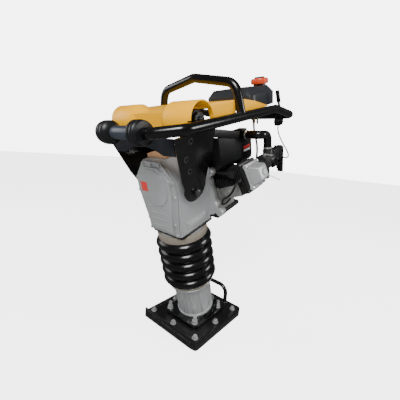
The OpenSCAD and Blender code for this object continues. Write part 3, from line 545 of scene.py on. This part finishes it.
side_pads = []
for side in (-1, 1):
    inner_x, outer_x = sorted((side * 0.0780, side * 0.0805))
    side_pads.append(((inner_x, -0.034, 0.461), (outer_x, 0.046, 0.475), 0.0008))
blocks("crankcase_side_pads", side_pads, cast_alloy, "case")

sticker_red = finish("sticker_red", (0.62, 0.03, 0.025), 0.32, grain=900, bump=0.00003, coat=0.4)
blocks("plain_badge_front", [((-0.058, -0.0948, 0.600), (-0.028, -0.0938, 0.632), 0.0003)],
       sticker_red, "case")


# ---- Engine ----------------------------------------------------------------
# A small single-cylinder engine flanged to the crankcase. Block and rocker
# cover are bare castings; the finned cylinder and head are heat-proof black.

engine_alloy = finish("engine_alloy", (0.21, 0.215, 0.205), 0.42, metal=0.35, grain=1100, bump=0.0004,
                      mottle=0.45, dust=0.05, spread=0.3)
heat_black = finish("heat_black", (0.012, 0.012, 0.012), 0.42, metal=0.0, grain=1200, bump=0.0003,
                    dust=0.02, shine=0.55)
moulded_black = finish("moulded_black", (0.005, 0.005, 0.006), 0.36, grain=1500, bump=0.00012,
                       dust=0.01, shine=0.42)
lever_black = finish("lever_black", (0.006, 0.006, 0.0065), 0.32, grain=1300, bump=0.0001,
                     dust=0.01, shine=0.3)

softened("engine_block", engine_alloy, 0.0028)
softened("engine_bolts", zinc_plate, 0.0006)
softened("engine_cylinder", heat_black, 0.0006)
softened("cylinder_head", heat_black, 0.0008)
barrel_lean = math.radians(70)
barrel = leg @ Matrix.Translation((0, 0.177, 0.522)) @ Matrix.Rotation(barrel_lean, 4, "Y")
rocker_bm = bmesh.new()
block(rocker_bm, (-0.044, -0.044, 0.222), (0.044, 0.044, 0.228), 0.0015)
crown = block(rocker_bm, (-0.037, -0.037, 0.226), (0.037, 0.037, 0.264), 0)
for corner in crown:
    if corner.co.z > 0.25:
        corner.co.x *= 0.62
        corner.co.y *= 0.74
rounded_edges(rocker_bm, crown, 0.0055)
ear_half = 0.0375
for ear_x in (-ear_half, ear_half):
    for ear_y in (-ear_half, ear_half):
        bmesh.ops.create_cone(rocker_bm, cap_ends=True, segments=28, radius1=0.0078, radius2=0.0072,
                              depth=0.0082, matrix=Matrix.Translation((ear_x, ear_y, 0.2252)))
for web in (-0.013, 0.013):
    block(rocker_bm, (-0.0345, web - 0.0012, 0.228), (0.0345, web + 0.0012, 0.2485), 0.0006)
bmesh.ops.create_cone(rocker_bm, cap_ends=True, segments=36, radius1=0.012, radius2=0.0105, depth=0.006,
                      matrix=Matrix.Translation((0, 0, 0.2660)))
rocker = built("rocker_cover_casting", rocker_bm, cast_alloy, "case", frame_of=barrel)
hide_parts("rocker_cover")
housing_bm = bmesh.new()
block(housing_bm, (0.012, -0.050, 0.080), (0.0555, 0.032, 0.186), 0.0035)
block(housing_bm, (0.006, -0.053, 0.080), (0.0565, 0.036, 0.088), 0.0015)
boss = bmesh.ops.create_cone(housing_bm, cap_ends=True, segments=40, radius1=0.0150, radius2=0.0135,
                             depth=0.010)["verts"]
bmesh.ops.rotate(housing_bm, cent=(0, 0, 0), verts=boss, matrix=Matrix.Rotation(math.pi / 2, 3, "X"))
bmesh.ops.translate(housing_bm, vec=(0.034, -0.053, 0.128), verts=boss)
built("push_rod_housing", housing_bm, engine_alloy, "case", frame_of=barrel)
rod_bm = bmesh.new()
rod_radius = 0.0014
rod_low = Vector((0.235, 0.225, 0.585))
rod_high = Vector((0.250, 0.300, 0.540))
rod_axis = (rod_high - rod_low).to_track_quat("Z", "Y").to_matrix().to_4x4()
bmesh.ops.create_cone(rod_bm, cap_ends=True, segments=20, radius1=rod_radius, radius2=rod_radius,
                      depth=(rod_high - rod_low).length,
                      matrix=Matrix.Translation((rod_low + rod_high) / 2) @ rod_axis)
built("breather_rod", rod_bm, zinc_plate, "case")
softened("spark_plug", moulded_black, 0.0010)
softened("recoil_cover", moulded_black, 0.0025, segments=3)
softened("starter_grip", moulded_black, 0.0015)
softened("muffler", heat_black, 0.0030, segments=3)
softened("carburettor", heat_black, 0.0014)
blocks("engine_foot_black", [((-0.0808, 0.1192, 0.4193), (0.0808, 0.2708, 0.4365), 0.0025)],
       heat_black, "case")
softened("throttle_arm", zinc_plate, 0.0005)
softened("choke_lever", lever_black, 0.0005)
softened("control_plate", black_enamel, 0.0010)
blocks("intake_duct", [((0.1835, 0.3435, 0.588), (0.2065, 0.4245, 0.641), 0.0045),
                       ((0.1815, 0.366, 0.584), (0.2085, 0.371, 0.644), 0.0012),
                       ((0.1815, 0.396, 0.584), (0.2085, 0.401, 0.644), 0.0012)],
       moulded_black, "case")
coated("clutch_shoes", heat_black)
coated("flywheel", engine_alloy)

lead_route = [(0.188, 0.1046, 0.590), (0.186, 0.092, 0.580), (0.176, 0.088, 0.560),
              (0.150, 0.096, 0.535), (0.120, 0.112, 0.512), (0.098, 0.130, 0.482),
              (0.090, 0.160, 0.468), (0.086, 0.190, 0.468), (0.082, 0.210, 0.469),
              (0.077, 0.222, 0.470), (0.072, 0.222, 0.470)]


def routed(name, route, radius, paint, body):
    """A flexible line laid smoothly through its points, in the leg's frame."""
    curve = bpy.data.curves.new(name + "_path", "CURVE")
    curve.dimensions = "3D"
    curve.bevel_depth = radius
    curve.bevel_resolution = 4
    curve.use_fill_caps = True
    curve.resolution_u = 6
    spline = curve.splines.new("BEZIER")
    spline.bezier_points.add(len(route) - 1)
    for knot, point in zip(spline.bezier_points, route):
        knot.co = point
        knot.handle_left_type = "AUTO"
        knot.handle_right_type = "AUTO"
    return swept(name, curve, paint, body)


line_rubber = finish("line_rubber", (0.005, 0.005, 0.0055), 0.34, grain=700, bump=0.0001, shine=0.3)
plug_line = routed("plug_lead_line", lead_route, 0.0035, line_rubber, "case")
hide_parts("plug_lead")


# ---- Air intake ------------------------------------------------------------
# A moulded box and drum under a sloping hood clean the air. A rubber elbow
# takes it down to the carburettor, with a clip ring at each end.

softened("air_cleaner", moulded_black, 0.0040, segments=4)
softened("air_cleaner_hood", moulded_black, 0.0040, segments=4)
elbow = bent_tube("intake_elbow_hose", [(0.128, 0.262, 0.713), (0.190, 0.264, 0.713),
                                        (0.195, 0.312, 0.705), (0.195, 0.312, 0.650)],
                  0.015, 0.020, gaiter_rubber, "case", sides=9)
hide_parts("intake_elbow")
clip = [(0.0150, 0), (0.0166, 0.0006), (0.0166, 0.0054), (0.0150, 0.006)]
turned("elbow_clip_low", clip, leg @ Matrix.Translation((0.195, 0.312, 0.654)), zinc_plate, "case",
       steps=48, closed=True)
turned("elbow_clip_high", clip,
       leg @ Matrix.Translation((0.134, 0.262, 0.713)) @ Matrix.Rotation(math.pi / 2, 4, "Y"),
       zinc_plate, "case", steps=48, closed=True)
sticker_white = finish("sticker_white", (0.75, 0.75, 0.74), 0.35, grain=900, bump=0.00003, coat=0.3)
blocks("plain_label_plate", [((0.1238, 0.256, 0.640), (0.1249, 0.306, 0.676), 0.0003)],
       lever_black, "case")
blocks("plain_label_red", [((0.1247, 0.258, 0.660), (0.1256, 0.304, 0.671), 0.0002)],
       sticker_red, "case")
blocks("plain_label_pale", [((0.1247, 0.258, 0.650), (0.1256, 0.304, 0.6575), 0.0002)],
       sticker_white, "case")


# ---- Bracket and rubber mounts ---------------------------------------------
# Two pressed steel side plates rise from the crankcase to the rubber mounts
# that carry the handle. A grey cross panel ties them at the front.

panel_grey = finish("panel_grey", (0.014, 0.016, 0.022), 0.34, grain=500, bump=0.0001, shine=0.3)
mount_rubber = finish("mount_rubber", (0.005, 0.005, 0.005), 0.55, grain=700, bump=0.0002, shine=0.25)
dull_zinc = finish("dull_zinc", (0.14, 0.14, 0.14), 0.34, metal=0.9, grain=700, bump=0.00008, mottle=0.25)

softened("side_plates", black_enamel, 0.0016)
softened("cross_panel", panel_grey, 0.0010)
softened("rubber_mounts", mount_rubber, 0.0030, segments=3)
softened("mount_bolts", dull_zinc, 0.0009)

plate_low_x = 0.103
plate_low_w = 0.585
plate_high_x = 0.150
plate_high_w = 0.780
plate_face = 0.0062
plate_lean = math.atan2(plate_high_x - plate_low_x, plate_high_w - plate_low_w)
washer = [(0.0062, 0), (0.0088, 0), (0.0088, 0.0010), (0.0082, 0.0016), (0.0062, 0.0016)]
for side_name, side in (("left", 1), ("right", -1)):
    for place_name, v, w in (("low", -0.051, 0.673), ("high", -0.069, 0.714), ("top", -0.053, 0.761)):
        x = plate_low_x + (w - plate_low_w) * math.tan(plate_lean) + plate_face
        out = Matrix.Rotation(side * (math.pi / 2 + plate_lean), 4, "Y")
        turned("side_plate_washer_" + place_name + "_" + side_name, washer,
               leg @ Matrix.Translation((side * x, v, w)) @ out, dull_zinc, "case",
               steps=40, closed=True)


# ---- Handle ----------------------------------------------------------------
# One bent steel tube in black enamel runs from the front crossbar round the
# rear grip. A hoop welded over it takes the crane's hook.

rail_half = 0.185
grip_v = 0.568
grip_w = 0.734
bar_v = -0.151
rail_w = 0.801
mid_v = 0.400
mid_w = 0.783
bar_bend_x = 0.122
front_sweep = 0.050
left_side = [(0.100, bar_v, rail_w), (bar_bend_x, bar_v, rail_w),
             (rail_half, bar_v + front_sweep, rail_w), (rail_half, mid_v, mid_w),
             (rail_half, grip_v, grip_w)]
right_side = [(-x, v, w) for x, v, w in reversed(left_side)]
handle_tube = bent_tube("handle_tube", left_side + right_side, 0.0150, 0.038, black_enamel,
                        "handle", sides=8)
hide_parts("handle_frame")
bent_tube("handle_crossbar", [(-0.110, bar_v, rail_w), (0.110, bar_v, rail_w)], 0.0149, 0.03,
          black_enamel, "handle", sides=8)

bracket_bm = bmesh.new()
for side in (-1, 1):
    near, far = sorted((side * 0.160, side * 0.173))
    block(bracket_bm, (near, -0.041, 0.793), (far, -0.001, 0.801), 0.0012)
for strap_v in (0.356, 0.400):
    block(bracket_bm, (-0.181, strap_v, 0.785), (0.181, strap_v + 0.020, 0.790), 0.0012)
built("handle_brackets", bracket_bm, black_enamel, "handle")
pad = [(0, 0), (0.0185, 0), (0.020, 0.0015), (0.020, 0.0055), (0.0185, 0.007), (0, 0.007)]
stud = [(0, -0.040), (0.009, -0.040), (0.009, 0.010), (0.0075, 0.0115), (0, 0.0115)]
for side_name, side in (("left", 1), ("right", -1)):
    outward = Matrix.Rotation(side * math.pi / 2, 4, "Y")
    seat = leg @ Matrix.Translation((side * 0.160, -0.021, 0.812)) @ outward
    turned("handle_pad_" + side_name, pad, seat, black_enamel, "handle", steps=48)
    turned("mount_stud_" + side_name, stud, seat, black_enamel, "handle", steps=40)

hoop = bent_tube("lift_hoop_tube", [(0.180, 0.164, 0.800), (0.160, 0.171, 0.890), (0, 0.165, 0.919),
                                    (-0.160, 0.171, 0.890), (-0.180, 0.164, 0.800)],
                 0.0145, 0.045, black_enamel, "handle", sides=8)
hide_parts("lift_hoop")


# ---- Front rollers ---------------------------------------------------------
# Two moulded rubber rollers on one grey sleeve let the machine be rolled into
# a van. Each has a rounded tread with a groove and a hub that necks down.

roller_rubber = finish("roller_rubber", (0.006, 0.0065, 0.0075), 0.38, grain=900, bump=0.00015,
                       dust=0.015, shine=0.35)
sleeve_grey = finish("sleeve_grey", (0.030, 0.037, 0.050), 0.32, grain=700, bump=0.0001, dust=0.02)
tread = [(0.0152, 0.040), (0.0210, 0.040), (0.0225, 0.043), (0.0230, 0.047), (0.0290, 0.053),
         (0.0325, 0.056), (0.0340, 0.060), (0.0340, 0.066), (0.0325, 0.0685), (0.0325, 0.0705),
         (0.0340, 0.073), (0.0340, 0.079), (0.0320, 0.083), (0.0275, 0.0855), (0.0275, 0.0865),
         (0.0310, 0.0885), (0.0318, 0.091), (0.0300, 0.0945), (0.0210, 0.0950), (0.0152, 0.0950)]
axle = leg @ Matrix.Translation((0, bar_v, rail_w)) @ Matrix.Rotation(math.pi / 2, 4, "Y")
mirrored = [(radius, -height) for radius, height in tread]
turned("roller_right", mirrored, axle, roller_rubber, "front_rollers", closed=True)
turned("roller_left", tread, axle, roller_rubber, "front_rollers", closed=True)
sleeve = [(0.0152, -0.0398), (0.0188, -0.0398), (0.0190, -0.038), (0.0190, 0.038), (0.0188, 0.0398),
          (0.0152, 0.0398)]
sleeve_piece = turned("roller_sleeve", sleeve, axle, sleeve_grey, "front_rollers",
                      steps=64, closed=True)
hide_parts("front_rollers")


# ---- Cover -----------------------------------------------------------------
# A glossy yellow moulding over the handle's front, with a hump over each
# rubber mount. The humps are open at their outer ends.

warm_yellow = finish("warm_yellow", (1.0, 0.47, 0.0), 0.30, grain=500, bump=0.00006, mottle=0.05,
                     dust=0.0, spread=0.08, coat=0.0, shine=0.15)
softened("top_cover", warm_yellow, 0.0016, segments=3)


# ---- Fuel tank -------------------------------------------------------------
# A dark grey moulded tank sits on two straps behind the cover. Its filler has
# an orange cap with grip ribs and a black vent button; a brass cock feeds the
# engine's hose.

tank_grey = finish("tank_grey", (0.022, 0.025, 0.029), 0.34, grain=1200, bump=0.00012, dust=0.01,
                   shine=0.35)
cap_orange = finish("cap_orange", (0.72, 0.07, 0.012), 0.36, grain=900, bump=0.0001)
softened("fuel_tank", tank_grey, 0.0060, segments=4, angle=20)

cap_seat = leg @ Matrix.Translation((0.062, 0.512, 0.8724))
cap_side = [(0, 0), (0.0330, 0), (0.0345, 0.002), (0.0345, 0.017), (0.0325, 0.0205), (0.0270, 0.0225),
            (0, 0.0225)]
cap = turned("fuel_cap_body", cap_side, cap_seat, cap_orange, "fuel_cap")
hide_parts("fuel_cap")
button = [(0, 0.0220), (0.0215, 0.0220), (0.0205, 0.0262), (0.0170, 0.0280), (0, 0.0280)]
turned("fuel_cap_button", button, cap_seat, moulded_black, "fuel_cap")
grip_ribs = ring_of_ribs(24, 0, (0.0335, -0.0017, 0.0022), (0.0360, 0.0017, 0.0175), 0.0006)
built("fuel_cap_grip_ribs", grip_ribs, cap_orange, "fuel_cap", frame_of=cap_seat)

cock_brass = finish("cock_brass", (0.55, 0.38, 0.12), 0.3, metal=1.0, grain=700, mottle=0.25)
softened("fuel_cock", cock_brass, 0.0006)
softened("cock_lever", cock_brass, 0.0005)


# ---- Hose, cable and throttle ----------------------------------------------
# The fuel hose and throttle cable cross from the handle to the engine. The
# lever is clamped on the rear grip.

hose_route = [(0.100, 0.385, 0.733), (0.100, 0.385, 0.712), (0.106, 0.380, 0.690),
              (0.118, 0.368, 0.668), (0.132, 0.348, 0.645), (0.142, 0.326, 0.620),
              (0.150, 0.306, 0.598), (0.158, 0.292, 0.582), (0.166, 0.285, 0.575),
              (0.175, 0.284, 0.574)]
cable_route = [(0.130, 0.548, 0.695), (0.130, 0.548, 0.678), (0.134, 0.547, 0.660),
               (0.144, 0.545, 0.638), (0.158, 0.541, 0.616), (0.174, 0.535, 0.596),
               (0.188, 0.524, 0.580), (0.197, 0.508, 0.572), (0.200, 0.488, 0.570),
               (0.198, 0.468, 0.575), (0.196, 0.455, 0.580), (0.195, 0.446, 0.582)]
for line_name, route, radius, node in (("fuel_hose_line", hose_route, 0.004, "fuel_hose"),
                                       ("throttle_cable_line", cable_route, 0.0028, "throttle_cable")):
    line = routed(line_name, route, radius, line_rubber, "handle")
    line.parent = None
    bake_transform(line)
    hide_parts(node)

softened("throttle_bracket", lever_black, 0.0016)
softened("throttle_lever", lever_black, 0.0016)
